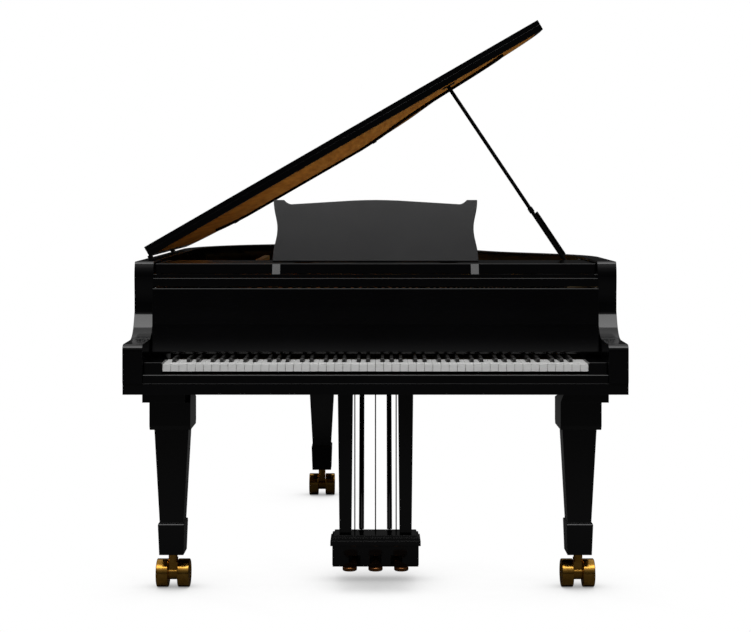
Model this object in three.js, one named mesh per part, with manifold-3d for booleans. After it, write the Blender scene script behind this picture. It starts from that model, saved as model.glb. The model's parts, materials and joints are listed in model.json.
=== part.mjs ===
// A glossy black grand piano with its lid propped open, in millimetres.
// +X runs to the treble side, +Y from the keyboard to the tail, and +Z up from the floor.
// While it is drawn, Y = 0 is the front of the arms; the last lines move the origin to the
// middle of the piano's footprint.
import * as THREE from 'three';
import { mergeVertices } from 'three/addons/utils/BufferGeometryUtils.js';
import Module from 'manifold-3d';

const wasm = await Module();
wasm.setup();

const GAP = 0.3; // between pieces that touch

// Case
const HALF_WIDTH = 724;
const LENGTH = 2175;
const RIM_WALL = 50;
const ARM_WALL = 57;
const ARM_END = 255; // where the arms meet the bent rim
const CASE_BOTTOM = 611;
const RIM_TOP = 983;
const KEYBED_TOP = 643;
const INNER_HALF = HALF_WIDTH - RIM_WALL;
const BETWEEN_ARMS = HALF_WIDTH - ARM_WALL;
const INNER_RIM_BOTTOM = 780;
const BELLY_FRONT = 660;
const BELLY_BACK = 700;
const SOUNDBOARD_BOTTOM = 850 + GAP;
const SOUNDBOARD_TOP = 858.3;
const CURVE_STEPS = 14;

// Keyboard
const WHITE_COUNT = 52;
const WHITE_PITCH = 23.56;
const WHITE_GAP = 1;
const WHITE_TOP = 697;
const WHITE_FRONT = 30;
const HEAD_LENGTH = 50;
const KEY_DEPTH = 22;
const BLACK_RISE = 12;
const BLACK_HALF = 5.5;
const MIDDLE_C = 23; // counted in white keys from the lowest A

// Lid
const LID_ANGLE = THREE.MathUtils.degToRad(30);
const LID_THICKNESS = 18.5;
const FLAP_THICKNESS = 16;
const LID_OVERHANG = 8;
const LID_AXIS = new THREE.Vector3(-HALF_WIDTH - 5.5, 0, RIM_TOP + 1.5);
const LID_LIFT = -1; // underside of the lid over its hinge axis
const LID_HINGE_HALF = 33;
const FLAP_FOLD = 575;
const FLAP_FRONT = 243;

// Music desk and shelf
const SHELF_TOP = 975.4;
const DESK_WIDTH = 625;
const DESK_HEIGHT = 190;
const DESK_THICKNESS = 14;
const DESK_LEAN = THREE.MathUtils.degToRad(20);
const DESK_AXIS = new THREE.Vector3(0, 303, SHELF_TOP + 10);
const STRUT_LENGTH = 99;

// Legs and casters
const LEG_X = 610;
const LEG_Y = 260;
const TAIL_LEG = new THREE.Vector2(-211, 1820);
const WHEEL_RADIUS = 42;
const WHEEL_WIDTH = 36;
const WHEEL_SPACE = 28; // between the two wheels of a caster
const CASTER_TRAIL = 15;
const HUB_RADIUS = 20;
const STEM_RADIUS = 13.5;
const LEG_BOTTOM = 107;

// Lyre
const PEDAL_PITCH = 64;
const PEDAL_BOTTOM = 62;
const PEDAL_TOP = 74;
const PEDAL_ROD_Y = 400;

// Prop
const PROP_BASE = new THREE.Vector3(622, 680, 964);
const PROP_TOP = new THREE.Vector3(236, 680, 1540);
const PROP_RADIUS = 6.2;
const SHORT_PROP_RADIUS = 4.2;
const SHORT_PROP_RUN = [24, 190]; // distances up the prop from its foot
const COLLAR_RUN = [196, 214];

const FINISHES = {
  lacquer: { color: 0x0b0b0c, roughness: 0.12, metalness: 0 },
  ivory: { color: 0xf2efe6, roughness: 0.25, metalness: 0 },
  ebony: { color: 0x101010, roughness: 0.35, metalness: 0 },
  gold_iron: { color: 0xb08a3c, roughness: 0.35, metalness: 0.7 },
  spruce: { color: 0xcfa064, roughness: 0.4, metalness: 0 },
  maple: { color: 0xb98a55, roughness: 0.45, metalness: 0 },
  brass: { color: 0xc9973f, roughness: 0.2, metalness: 1 },
  steel: { color: 0xc4c6c8, roughness: 0.3, metalness: 1 },
  felt: { color: 0x8c1f1f, roughness: 0.95, metalness: 0 },
};

const piano = new THREE.Group();

function add(name, geometry, finish, parent = piano) {
  const mesh = new THREE.Mesh(geometry, new THREE.MeshStandardMaterial(FINISHES[finish]));
  mesh.name = name;
  parent.add(mesh);
}

// ---- joining and cutting ----

function toSolid(geometry) {
  const bare = geometry.clone();
  bare.deleteAttribute('normal');
  bare.deleteAttribute('uv');
  const merged = mergeVertices(bare, 1e-3);
  return new wasm.Manifold(new wasm.Mesh({
    numProp: 3,
    vertProperties: merged.attributes.position.array,
    triVerts: Uint32Array.from(merged.index.array),
  }));
}

function toGeometry(manifold) {
  const mesh = manifold.getMesh();
  const geometry = new THREE.BufferGeometry();
  geometry.setAttribute('position', new THREE.BufferAttribute(mesh.vertProperties, 3));
  geometry.setIndex(new THREE.BufferAttribute(mesh.triVerts, 1));
  geometry.computeVertexNormals();
  return geometry;
}

function join(parts) {
  return toGeometry(wasm.Manifold.union(parts.map(toSolid)));
}

function cut(body, tools) {
  return toGeometry(toSolid(body).subtract(wasm.Manifold.union(tools.map(toSolid))));
}

function common(a, b) {
  return toGeometry(toSolid(a).intersect(toSolid(b)));
}

// ---- simple shapes ----

function block([x0, x1], [y0, y1], [z0, z1]) {
  const box = new THREE.BoxGeometry(x1 - x0, y1 - y0, z1 - z0);
  return box.translate((x0 + x1) / 2, (y0 + y1) / 2, (z0 + z1) / 2);
}

// A plan outline drawn upwards.
function plate(outline, [z0, z1]) {
  const shape = outline instanceof THREE.Shape ? outline : new THREE.Shape(outline);
  const settings = { depth: z1 - z0, bevelEnabled: false, curveSegments: CURVE_STEPS };
  return new THREE.ExtrudeGeometry(shape, settings).translate(0, 0, z0);
}

// A side profile, drawn in (y, z), carried across from x0 to x1.
function across(shape, [x0, x1], curveSegments = 8) {
  const settings = { depth: x1 - x0, bevelEnabled: false, curveSegments };
  const turn = new THREE.Matrix4().makeBasis(
    new THREE.Vector3(0, 1, 0),
    new THREE.Vector3(0, 0, 1),
    new THREE.Vector3(1, 0, 0),
  );
  return new THREE.ExtrudeGeometry(shape, settings).applyMatrix4(turn).translate(x0, 0, 0);
}

function rod(start, end, radius, sides = 16) {
  const along = end.clone().sub(start);
  const cylinder = new THREE.CylinderGeometry(radius, radius, along.length(), sides);
  const turn = new THREE.Quaternion().setFromUnitVectors(new THREE.Vector3(0, 1, 0), along.normalize());
  const middle = start.clone().add(end).multiplyScalar(0.5);
  return cylinder.applyQuaternion(turn).translate(middle.x, middle.y, middle.z);
}

// Rectangular sections [z, x0, x1, y0, y1] skinned from the bottom up.
function stack(sections) {
  const corners = [];
  for (const [z, x0, x1, y0, y1] of sections) {
    corners.push(x0, y0, z, x1, y0, z, x1, y1, z, x0, y1, z);
  }
  const faces = [0, 2, 1, 0, 3, 2];
  for (let level = 0; level < sections.length - 1; level++) {
    for (let side = 0; side < 4; side++) {
      const a = 4 * level + side;
      const b = 4 * level + ((side + 1) % 4);
      faces.push(a, b, b + 4, a, b + 4, a + 4);
    }
  }
  const top = 4 * (sections.length - 1);
  faces.push(top, top + 1, top + 2, top, top + 2, top + 3);
  const geometry = new THREE.BufferGeometry();
  geometry.setAttribute('position', new THREE.Float32BufferAttribute(corners, 3));
  geometry.setIndex(faces);
  geometry.computeVertexNormals();
  return geometry;
}

// ---- the plan of the case ----

// From the treble arm round the bent side and the tail to the bass arm.
function caseOutline() {
  const path = new THREE.Path();
  path.moveTo(HALF_WIDTH, ARM_END + GAP);
  path.lineTo(HALF_WIDTH, 640);
  path.bezierCurveTo(HALF_WIDTH, 850, 600, 985, 500, 1100);
  path.bezierCurveTo(400, 1215, 345, 1400, 290, 1640);
  path.bezierCurveTo(235, 1880, 60, LENGTH, -200, LENGTH);
  path.bezierCurveTo(-470, LENGTH, -700, 1900, -HALF_WIDTH, 1540);
  path.lineTo(-HALF_WIDTH, ARM_END + GAP);
  return path.getPoints(CURVE_STEPS);
}

const OUTLINE = caseOutline();

function inset(distance) {
  return OUTLINE.map((point, i) => {
    const before = OUTLINE[Math.max(i - 1, 0)];
    const after = OUTLINE[Math.min(i + 1, OUTLINE.length - 1)];
    const along = after.clone().sub(before).normalize();
    return new THREE.Vector2(point.x - along.y * distance, point.y + along.x * distance);
  });
}

// A band that follows the case between two insets, behind the line y = front.
function band(outer, inner, front, heights) {
  const shape = [...inset(outer), ...inset(inner).reverse()];
  const keep = block([-HALF_WIDTH - 50, HALF_WIDTH + 50], [front, LENGTH + 50], [0, 2000]);
  return common(plate(shape, heights), keep);
}

// A full panel inside one inset, behind the line y = front.
function panel(distance, front, heights) {
  const keep = block([-HALF_WIDTH - 50, HALF_WIDTH + 50], [front, LENGTH + 50], [0, 2000]);
  return common(plate(inset(distance), heights), keep);
}

// The tail-side y at which an inset outline crosses a given x.
function rearY(x, distance) {
  const points = inset(distance);
  for (let i = 1; i < points.length; i++) {
    const a = points[i - 1];
    const b = points[i];
    if (a.x >= x && b.x <= x && a.x > b.x) return a.y + ((a.x - x) / (a.x - b.x)) * (b.y - a.y);
  }
  return LENGTH;
}

// ---- case ----

function armProfile() {
  const shape = new THREE.Shape();
  shape.moveTo(0, KEYBED_TOP + GAP);
  shape.lineTo(ARM_END, KEYBED_TOP + GAP);
  shape.lineTo(ARM_END, RIM_TOP);
  shape.quadraticCurveTo(249, RIM_TOP, 246, 974);
  shape.bezierCurveTo(232, 945, 243, 905, 243, 870);
  shape.lineTo(243, 833);
  shape.bezierCurveTo(226, 797, 205, 758, 150, 755.5);
  shape.lineTo(20, 755);
  shape.quadraticCurveTo(0, 755, 0, 735);
  return shape;
}

function keybed() {
  const front = 4;
  const back = BELLY_FRONT - 22;
  const wide = HALF_WIDTH;
  const narrow = INNER_HALF - GAP;
  const shape = new THREE.Shape();
  shape.moveTo(-wide, front);
  shape.lineTo(wide, front);
  shape.lineTo(wide, ARM_END);
  shape.lineTo(narrow, ARM_END);
  shape.lineTo(narrow, back);
  shape.lineTo(-narrow, back);
  shape.lineTo(-narrow, ARM_END);
  shape.lineTo(-wide, ARM_END);
  return plate(shape, [CASE_BOTTOM, KEYBED_TOP]);
}

function outerRim() {
  const ledge = [925, SHELF_TOP - 31.7];
  const ledgeRun = [263, 600];
  return join([
    plate([...inset(0), ...inset(RIM_WALL).reverse()], [CASE_BOTTOM, RIM_TOP]),
    block([INNER_HALF - 24, INNER_HALF + 5], ledgeRun, ledge),
    block([-INNER_HALF - 5, -INNER_HALF + 24], ledgeRun, ledge),
  ]);
}

function buildCase() {
  const armX = [BETWEEN_ARMS, HALF_WIDTH];
  add('outer_rim', outerRim(), 'lacquer');
  add('left_arm', across(armProfile(), [-armX[1], -armX[0]], 12), 'lacquer');
  add('right_arm', across(armProfile(), armX, 12), 'lacquer');
  add('inner_rim', band(RIM_WALL + GAP, 92, 300, [INNER_RIM_BOTTOM, 850]), 'maple');
  const belly = [BELLY_FRONT, BELLY_BACK];
  add('belly_rail', join([
    block([-667, 667], belly, [CASE_BOTTOM, INNER_RIM_BOTTOM - GAP]),
    block([-625, 625], belly, [CASE_BOTTOM, 850]),
  ]), 'maple');
  add('keybed', keybed(), 'lacquer');
  add('soundboard', panel(RIM_WALL + GAP, BELLY_FRONT, [SOUNDBOARD_BOTTOM, SOUNDBOARD_TOP]), 'spruce');
  const beams = { case_beam_bass: TAIL_LEG.x, case_beam_treble: 120 };
  for (const [name, x] of Object.entries(beams)) {
    const reach = Math.min(rearY(x - 25, RIM_WALL + 1), rearY(x + 25, RIM_WALL + 1));
    add(name, block([x - 25, x + 25], [BELLY_BACK + GAP, reach], [CASE_BOTTOM, 700]), 'maple');
  }
  const slip = new THREE.Shape();
  slip.moveTo(5, KEYBED_TOP + GAP);
  slip.lineTo(26, KEYBED_TOP + GAP);
  slip.lineTo(26, 664);
  slip.quadraticCurveTo(26, 668, 22, 668);
  slip.lineTo(9, 668);
  slip.quadraticCurveTo(5, 668, 5, 664);
  add('key_slip', across(slip, [-BETWEEN_ARMS + GAP, BETWEEN_ARMS - GAP]), 'lacquer');
  for (const [name, side] of [['key_block_left', -1], ['key_block_right', 1]]) {
    const x = [614 * side, (BETWEEN_ARMS - 1) * side].sort((a, b) => a - b);
    add(name, block(x, [27, 175], [KEYBED_TOP + GAP, 701]), 'lacquer');
  }
  add('front_rail', block([-666, 666], [224, 262], [909, 934]), 'lacquer');
}

// ---- the strung back ----

const STRING_START = 545;
const STRING_Z = [894.5, 896.5];
const BASS_Z = [901, 903.5];
const STRUT_X = [-440, -230, -30, 150, 320, 480];

function bridgeCurve() {
  return new THREE.CubicBezierCurve(
    new THREE.Vector2(585, 715),
    new THREE.Vector2(440, 840),
    new THREE.Vector2(260, 1380),
    new THREE.Vector2(-470, 1600),
  );
}

// A bar of one width that follows a plan curve.
function bar(curve, width, heights, steps = 16) {
  const left = [];
  const right = [];
  for (let i = 0; i <= steps; i++) {
    const at = curve.getPoint(i / steps);
    const along = curve.getTangent(i / steps);
    left.push(new THREE.Vector2(at.x - along.y * width / 2, at.y + along.x * width / 2));
    right.push(new THREE.Vector2(at.x + along.y * width / 2, at.y - along.x * width / 2));
  }
  return plate([...left, ...right.reverse()], heights);
}

// One straight string, as a thin square bar between two plan points.
function string(start, end, width, heights) {
  return bar(new THREE.LineCurve(start, end), width, heights, 1);
}

function ironPlate() {
  const half = INNER_HALF - GAP - 0.3;
  const low = [SOUNDBOARD_TOP + GAP, 870];
  const parts = [
    block([-half, half], [330, 560], [880 + GAP, 892]),
    block([-half, half], [521, 560], [low[0], 892]),
    band(RIM_WALL + 0.6, 110, 540, low),
  ];
  for (const x of STRUT_X) {
    const end = rearY(x, RIM_WALL + 30);
    parts.push(block([x - 11, x + 11], [505, end], [919, 941]));
    parts.push(block([x - 11, x + 11], [505, 538], [885, 925]));
    parts.push(block([x - 11, x + 11], [end - 26, end], [865, 925]));
  }
  return join(parts);
}

function trebleStrings() {
  const curve = bridgeCurve();
  const count = 30;
  const barZ = [STRING_Z[0] - 0.5, STRING_Z[1] + 0.5];
  const parts = [
    bar(curve, 8, barZ),
    block([-430, 595], [STRING_START - 3, STRING_START + 3], barZ),
  ];
  for (let i = 0; i <= count; i++) {
    const at = curve.getPoint(0.01 + (0.98 * i) / count);
    const share = (585 - at.x) / (585 + 470);
    const start = new THREE.Vector2(THREE.MathUtils.lerp(590, -425, share), STRING_START);
    const end = at.clone().add(at.clone().sub(start).normalize().multiplyScalar(45));
    parts.push(string(start, end, 2, STRING_Z));
  }
  return join(parts);
}

function bassStrings() {
  const count = 12;
  const parts = [];
  const end = (share) => new THREE.Vector2(-430 + 330 * share, 1890 + 60 * share);
  for (let i = 0; i <= count; i++) {
    const share = i / count;
    parts.push(string(new THREE.Vector2(-655 + 200 * share, STRING_START), end(share), 3, BASS_Z));
  }
  const barZ = [BASS_Z[0] - 0.5, BASS_Z[1] + 0.5];
  parts.push(string(end(-0.02), end(1.02), 6, barZ));
  parts.push(block([-660, -450], [STRING_START - 3, STRING_START + 3], barZ));
  return join(parts);
}

function hammerRow() {
  const parts = [
    block([-600, 600], [570, 596], [800, 842]),
    block([-600, 600], [468, 580], [760, 806]),
  ];
  for (let i = 0; i < 44; i++) {
    const x = -590 + i * 27.2;
    parts.push(block([x, x + 11], [572, 594], [840, 884]));
  }
  return join(parts);
}

function buildStrungBack() {
  const wide = INNER_HALF - GAP;
  add('pin_block', block([-wide, wide], [330, 520], [850 + GAP, 880]), 'maple');
  add('cast_iron_plate', ironPlate(), 'gold_iron');
  add('long_bridge', bar(bridgeCurve(), 30, [SOUNDBOARD_TOP + GAP, 892]), 'maple');
  const bass = new THREE.LineCurve(new THREE.Vector2(-450, 1832), new THREE.Vector2(-90, 1896));
  add('bass_bridge', bar(bass, 30, [SOUNDBOARD_TOP + GAP, 899], 1), 'maple');
  add('strings_treble', trebleStrings(), 'steel');
  add('strings_bass', bassStrings(), 'brass');
  add('damper_row', block([-640, 470], [608, 632], [905.5, 916]), 'lacquer');
  add('hammer_row', hammerRow(), 'felt');
}

// ---- keyboard ----

const KEYBOARD_LEFT = -WHITE_COUNT * WHITE_PITCH / 2;
const BLACK_OFFSET = { A: 3, C: -2, D: 2, F: -3, G: 0 }; // from the joint to its right

const letter = (i) => 'ABCDEFG'[i % 7];
const jointX = (i) => KEYBOARD_LEFT + (i + 1) * WHITE_PITCH;

function blackCentre(i) {
  const offset = BLACK_OFFSET[letter(i)];
  return offset === undefined || i < 0 || i >= WHITE_COUNT - 1 ? null : jointX(i) + offset;
}

function whiteKey(i, end) {
  const left = jointX(i - 1) + WHITE_GAP / 2;
  const right = jointX(i) - WHITE_GAP / 2;
  const before = i > 0 ? blackCentre(i - 1) : null;
  const after = blackCentre(i);
  const clear = BLACK_HALF + 1;
  const tailLeft = before === null ? left : before + clear;
  const tailRight = after === null ? right : after - clear;
  const headEnd = WHITE_FRONT + HEAD_LENGTH - 1;
  const z = [WHITE_TOP - KEY_DEPTH, WHITE_TOP];
  return [
    block([left, right], [WHITE_FRONT, headEnd], z),
    block([tailLeft, tailRight], [headEnd - 5, end], z),
  ];
}

function blackKey(i, end) {
  const x = blackCentre(i);
  const front = WHITE_FRONT + HEAD_LENGTH;
  const top = WHITE_TOP + BLACK_RISE;
  return stack([
    [WHITE_TOP - 12, x - BLACK_HALF, x + BLACK_HALF, front, end],
    [WHITE_TOP, x - BLACK_HALF, x + BLACK_HALF, front, end],
    [top - 1, x - BLACK_HALF + 1, x + BLACK_HALF - 1, front + 5, end],
    [top, x - BLACK_HALF + 2, x + BLACK_HALF - 2, front + 8, end],
  ]);
}

function buildKeyboard() {
  const singleEnd = 382;
  const whiteMoving = { [MIDDLE_C]: 'key_c', [MIDDLE_C + 1]: 'key_d', [MIDDLE_C + 2]: 'key_e' };
  const blackMoving = { [MIDDLE_C]: 'key_c_sharp', [MIDDLE_C + 1]: 'key_d_sharp' };
  const edge = KEYBOARD_LEFT + 2;
  const whites = [block([edge, -edge], [426, 440], [WHITE_TOP - 20, WHITE_TOP - 5])];
  const blacks = [block([edge + 15, -edge - 30], [388, 400], [WHITE_TOP + 1.2, WHITE_TOP + 9])];
  for (let i = 0; i < WHITE_COUNT; i++) {
    if (whiteMoving[i]) add(whiteMoving[i], join(whiteKey(i, singleEnd)), 'ivory');
    else whites.push(...whiteKey(i, 430));
    if (blackCentre(i) === null) continue;
    if (blackMoving[i]) add(blackMoving[i], blackKey(i, singleEnd), 'ebony');
    else blacks.push(blackKey(i, 400));
  }
  add('white_keys', join(whites), 'ivory');
  add('black_keys', join(blacks), 'ebony');
}

function buildFallboard() {
  const shape = new THREE.Shape();
  shape.moveTo(178, 717);
  shape.lineTo(199, 717);
  shape.quadraticCurveTo(208, 745, 211, 800);
  shape.lineTo(213, 905);
  shape.lineTo(193, 905);
  shape.lineTo(191, 800);
  shape.quadraticCurveTo(188, 742, 178, 717);
  add('fallboard', across(shape, [-664, 664]), 'lacquer');
}

// ---- music shelf and desk ----

// Half of the desk's outline is mirrored: a waisted side, a flat ear and a crowned middle.
function deskOutline() {
  const half = DESK_WIDTH / 2;
  const bottom = -8;
  const shape = new THREE.Shape();
  shape.moveTo(-half, bottom);
  shape.lineTo(half, bottom);
  shape.bezierCurveTo(half, 40, half - 13, 60, half - 13, 95);
  shape.bezierCurveTo(half - 13, 130, half, 150, half, DESK_HEIGHT);
  shape.lineTo(half - 32, DESK_HEIGHT);
  shape.quadraticCurveTo(half - 44, DESK_HEIGHT - 14, half - 56, DESK_HEIGHT - 14);
  shape.bezierCurveTo(half - 110, DESK_HEIGHT - 12, 90, DESK_HEIGHT, 0, DESK_HEIGHT);
  shape.bezierCurveTo(-90, DESK_HEIGHT, 110 - half, DESK_HEIGHT - 12, 56 - half, DESK_HEIGHT - 14);
  shape.quadraticCurveTo(44 - half, DESK_HEIGHT - 14, 32 - half, DESK_HEIGHT);
  shape.lineTo(-half, DESK_HEIGHT);
  shape.bezierCurveTo(-half, 150, 13 - half, 130, 13 - half, 95);
  shape.bezierCurveTo(13 - half, 60, -half, 40, -half, bottom);
  return shape;
}

function buildDesk() {
  add('music_shelf', block([-666, 666], [280, 560], [SHELF_TOP - 31.4, SHELF_TOP]), 'lacquer');
  const desk = new THREE.Group();
  desk.position.copy(DESK_AXIS);
  desk.rotation.x = -DESK_LEAN;
  piano.add(desk);
  const settings = { depth: DESK_THICKNESS, bevelEnabled: false, curveSegments: 8 };
  const panelShape = new THREE.ExtrudeGeometry(deskOutline(), settings).rotateX(Math.PI / 2);
  add('music_desk', panelShape, 'lacquer', desk);
  const pivot = new THREE.Vector3(0, 5, 90).applyAxisAngle(new THREE.Vector3(1, 0, 0), -DESK_LEAN);
  pivot.add(DESK_AXIS);
  const footZ = SHELF_TOP + 4;
  const reach = Math.sqrt(STRUT_LENGTH ** 2 - (pivot.z - footZ) ** 2);
  const foot = new THREE.Vector3(0, pivot.y + reach, footZ);
  const strut = new THREE.Group();
  strut.position.copy(pivot);
  strut.rotation.x = Math.atan2(foot.z - pivot.z, foot.y - pivot.y);
  piano.add(strut);
  add('desk_strut', block([-60, 60], [-2, STRUT_LENGTH], [-2.2, 2.2]), 'lacquer', strut);
}

// ---- lid and prop ----

function lidOutline() {
  const edge = inset(-LID_OVERHANG).filter((point) => point.y > FLAP_FOLD + 1);
  const round = edge.map((point) => new THREE.Vector2(Math.max(point.x, -HALF_WIDTH), point.y));
  const treble = new THREE.Vector2(HALF_WIDTH + LID_OVERHANG, FLAP_FOLD + GAP);
  return [treble, ...round, new THREE.Vector2(-HALF_WIDTH, FLAP_FOLD + GAP)];
}

function buildLid() {
  const lid = new THREE.Group();
  lid.position.copy(LID_AXIS);
  lid.rotation.y = -LID_ANGLE;
  piano.add(lid);
  const top = LID_LIFT + LID_THICKNESS;
  const shift = -LID_AXIS.x;
  add('lid', plate(lidOutline(), [LID_LIFT, top]).translate(shift, 0, 0), 'lacquer', lid);
  const flapX = [-HALF_WIDTH, HALF_WIDTH + LID_OVERHANG];
  const flapY = [FLAP_FOLD + GAP, 2 * FLAP_FOLD - FLAP_FRONT];
  const flap = block(flapX, flapY, [top + GAP, top + GAP + FLAP_THICKNESS]);
  add('front_flap', flap.translate(shift, 0, 0), 'lacquer', lid);
}

function lidHinge(middle) {
  const x = LID_AXIS.x;
  const run = [middle - LID_HINGE_HALF, middle + LID_HINGE_HALF];
  const start = new THREE.Vector3(x, run[0], LID_AXIS.z);
  const end = new THREE.Vector3(x, run[1], LID_AXIS.z);
  return join([
    rod(start, end, 4.4, 14),
    block([x + 1, -HALF_WIDTH - GAP], run, [RIM_TOP - 30, LID_AXIS.z]),
  ]);
}

function buildProp() {
  const along = PROP_TOP.clone().sub(PROP_BASE).normalize();
  const at = (distance) => PROP_BASE.clone().addScaledVector(along, distance);
  const foot = new THREE.SphereGeometry(9, 14, 10).translate(...PROP_BASE.toArray());
  add('prop_stick', join([
    rod(PROP_BASE, PROP_TOP, PROP_RADIUS),
    rod(at(COLLAR_RUN[0]), at(COLLAR_RUN[1]), PROP_RADIUS + 2.2),
    foot,
  ]), 'lacquer');
  const apart = PROP_RADIUS + SHORT_PROP_RADIUS + 0.6;
  const beside = new THREE.Vector3(along.z, 0, -along.x).multiplyScalar(apart);
  const [low, high] = SHORT_PROP_RUN.map((distance) => at(distance).add(beside));
  add('short_prop', rod(low, high, SHORT_PROP_RADIUS, 12), 'lacquer');
  add('prop_bracket', join([
    block([604, INNER_HALF - 10], [664, 696], [930, 944]),
    block([612, 632], [670, 690], [940, 954]),
    block([INNER_HALF - 16, INNER_HALF - 7], [655, 700], [925, 975]),
  ]), 'lacquer');
}

// ---- legs and casters ----

function leg(x, y, out) {
  const at = (z, halfX, halfY, shift = 0) => [z, x + shift - halfX, x + shift + halfX, y - halfY, y + halfY];
  return stack([
    at(LEG_BOTTOM, 36.5, 45),
    at(198, 39.5, 52),
    at(202, 38.5, 49),
    at(202, 35.5, 40),
    at(485, 51.5, 40),
    at(485, 61, 72),
    at(497, 61, 80),
    at(567, 61, 80),
    at(567, 63.5, 82, out),
    at(CASE_BOTTOM - GAP, 63.5, 82, out),
  ]);
}

function casterFork(x, y) {
  const hubY = y + CASTER_TRAIL;
  const half = WHEEL_SPACE / 2 - 0.5;
  const hub = rod(
    new THREE.Vector3(x - half, hubY, WHEEL_RADIUS),
    new THREE.Vector3(x + half, hubY, WHEEL_RADIUS),
    HUB_RADIUS,
    24,
  );
  const solidFork = join([
    hub,
    block([x - half + 1, x + half - 1], [hubY - 14, hubY + 12], [WHEEL_RADIUS, 88]),
    rod(new THREE.Vector3(x, y, 78), new THREE.Vector3(x, y, LEG_BOTTOM - GAP), STEM_RADIUS, 20),
  ]);
  const bore = rod(
    new THREE.Vector3(x - 30, hubY, WHEEL_RADIUS),
    new THREE.Vector3(x + 30, hubY, WHEEL_RADIUS),
    8.4,
  );
  return cut(solidFork, [bore]);
}

function casterWheels(x, y) {
  const hubY = y + CASTER_TRAIL;
  const point = (offset) => new THREE.Vector3(x + offset, hubY, WHEEL_RADIUS);
  const inner = WHEEL_SPACE / 2;
  const outer = inner + WHEEL_WIDTH;
  return join([
    rod(point(-outer), point(-inner), WHEEL_RADIUS, 36),
    rod(point(inner), point(outer), WHEEL_RADIUS, 36),
    rod(point(-inner - 5), point(inner + 5), 8),
  ]);
}

function buildLegs() {
  const places = [
    ['left', -LEG_X, LEG_Y, -18.5],
    ['right', LEG_X, LEG_Y, 18.5],
    ['tail', TAIL_LEG.x, TAIL_LEG.y, 0],
  ];
  for (const [name, x, y, out] of places) {
    add(`leg_${name}`, leg(x, y, out), 'lacquer');
    add(`caster_fork_${name}`, casterFork(x, y), 'brass');
    add(`caster_wheels_${name}`, casterWheels(x, y), 'brass');
  }
}

// ---- lyre ----

const LYRE_FRONT = 325;
const LYRE_BACK = 430;
const LYRE_BOX_TOP = 143;
const PEDAL_END = 420;
const PEDALS = { pedal_left: -PEDAL_PITCH, pedal_middle: 0, pedal_right: PEDAL_PITCH };

function lyreBox() {
  const at = (z, halfX, out) => [z, -halfX, halfX, LYRE_FRONT - out, LYRE_BACK + out];
  const body = stack([
    at(52, 132, 0),
    at(112, 132, 0),
    at(112, 138, 6),
    at(127, 138, 6),
    at(127, 133, 1),
    at(136, 133, 1),
    at(136, 128, -4),
    at(LYRE_BOX_TOP, 126, -6),
  ]);
  const tools = [];
  for (const x of Object.values(PEDALS)) {
    tools.push(block([x - 17, x + 17], [LYRE_FRONT - 20, PEDAL_END + 3], [40, 82]));
    const low = new THREE.Vector3(x, PEDAL_ROD_Y, 60);
    tools.push(rod(low, new THREE.Vector3(x, PEDAL_ROD_Y, 200), 4.5, 12));
  }
  return cut(body, tools);
}

function pedal(x) {
  const head = x + Math.sign(x) * 13;
  const headY = 215;
  const headHalf = 21.5;
  const arm = 8;
  const shape = new THREE.Shape();
  shape.moveTo(x - arm, PEDAL_END);
  shape.lineTo(x - arm, 310);
  shape.bezierCurveTo(x - arm, 272, head - headHalf, 262, head - headHalf, headY);
  shape.absarc(head, headY, headHalf, Math.PI, 2 * Math.PI, false);
  shape.bezierCurveTo(head + headHalf, 262, x + arm, 272, x + arm, 310);
  shape.lineTo(x + arm, PEDAL_END);
  return plate(shape, [PEDAL_BOTTOM, PEDAL_TOP]);
}

function buildLyre() {
  add('lyre_top', block([-124, 124], [345, 393], [575, CASE_BOTTOM - GAP]), 'lacquer');
  add('lyre_box', lyreBox(), 'lacquer');
  for (const [name, side] of [['left', -1], ['right', 1]]) {
    const wide = (a, b) => [a * side, b * side].sort((p, q) => p - q);
    const pillar = stack([
      [LYRE_BOX_TOP + GAP, ...wide(74, 111), 355, 393],
      [575 - GAP, ...wide(69.5, 116), 355, 393],
    ]);
    add(`lyre_pillar_${name}`, pillar, 'lacquer');
    const low = new THREE.Vector3(43.5 * side, 411, LYRE_BOX_TOP + 4);
    const high = new THREE.Vector3(43.5 * side, 620, 603);
    add(`lyre_brace_${name}`, rod(low, high, 8), 'lacquer');
  }
  for (const [name, x] of Object.entries(PEDALS)) {
    add(name, pedal(x), 'brass');
    const low = new THREE.Vector3(x, PEDAL_ROD_Y, PEDAL_TOP + 0.8);
    const high = new THREE.Vector3(x, PEDAL_ROD_Y, 600);
    add(name.replace('pedal', 'pedal_rod'), rod(low, high, 2, 10), 'brass');
  }
}

buildCase();
buildStrungBack();
buildKeyboard();
buildFallboard();
buildDesk();
buildLid();
add('lid_hinge_front', lidHinge(635), 'brass');
add('lid_hinge_rear', lidHinge(1235), 'brass');
buildProp();
buildLegs();
buildLyre();

// The origin is on the floor in the middle of the piano's footprint.
piano.updateMatrixWorld(true);
const footprint = new THREE.Box3().setFromObject(piano, true);
const middle = footprint.getCenter(new THREE.Vector3());
piano.position.set(-middle.x, -middle.y, -footprint.min.z);

export default piano;
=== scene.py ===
import json
import math

import bmesh
import bpy
from mathutils import Matrix, Vector
from mathutils.geometry import interpolate_bezier


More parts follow.
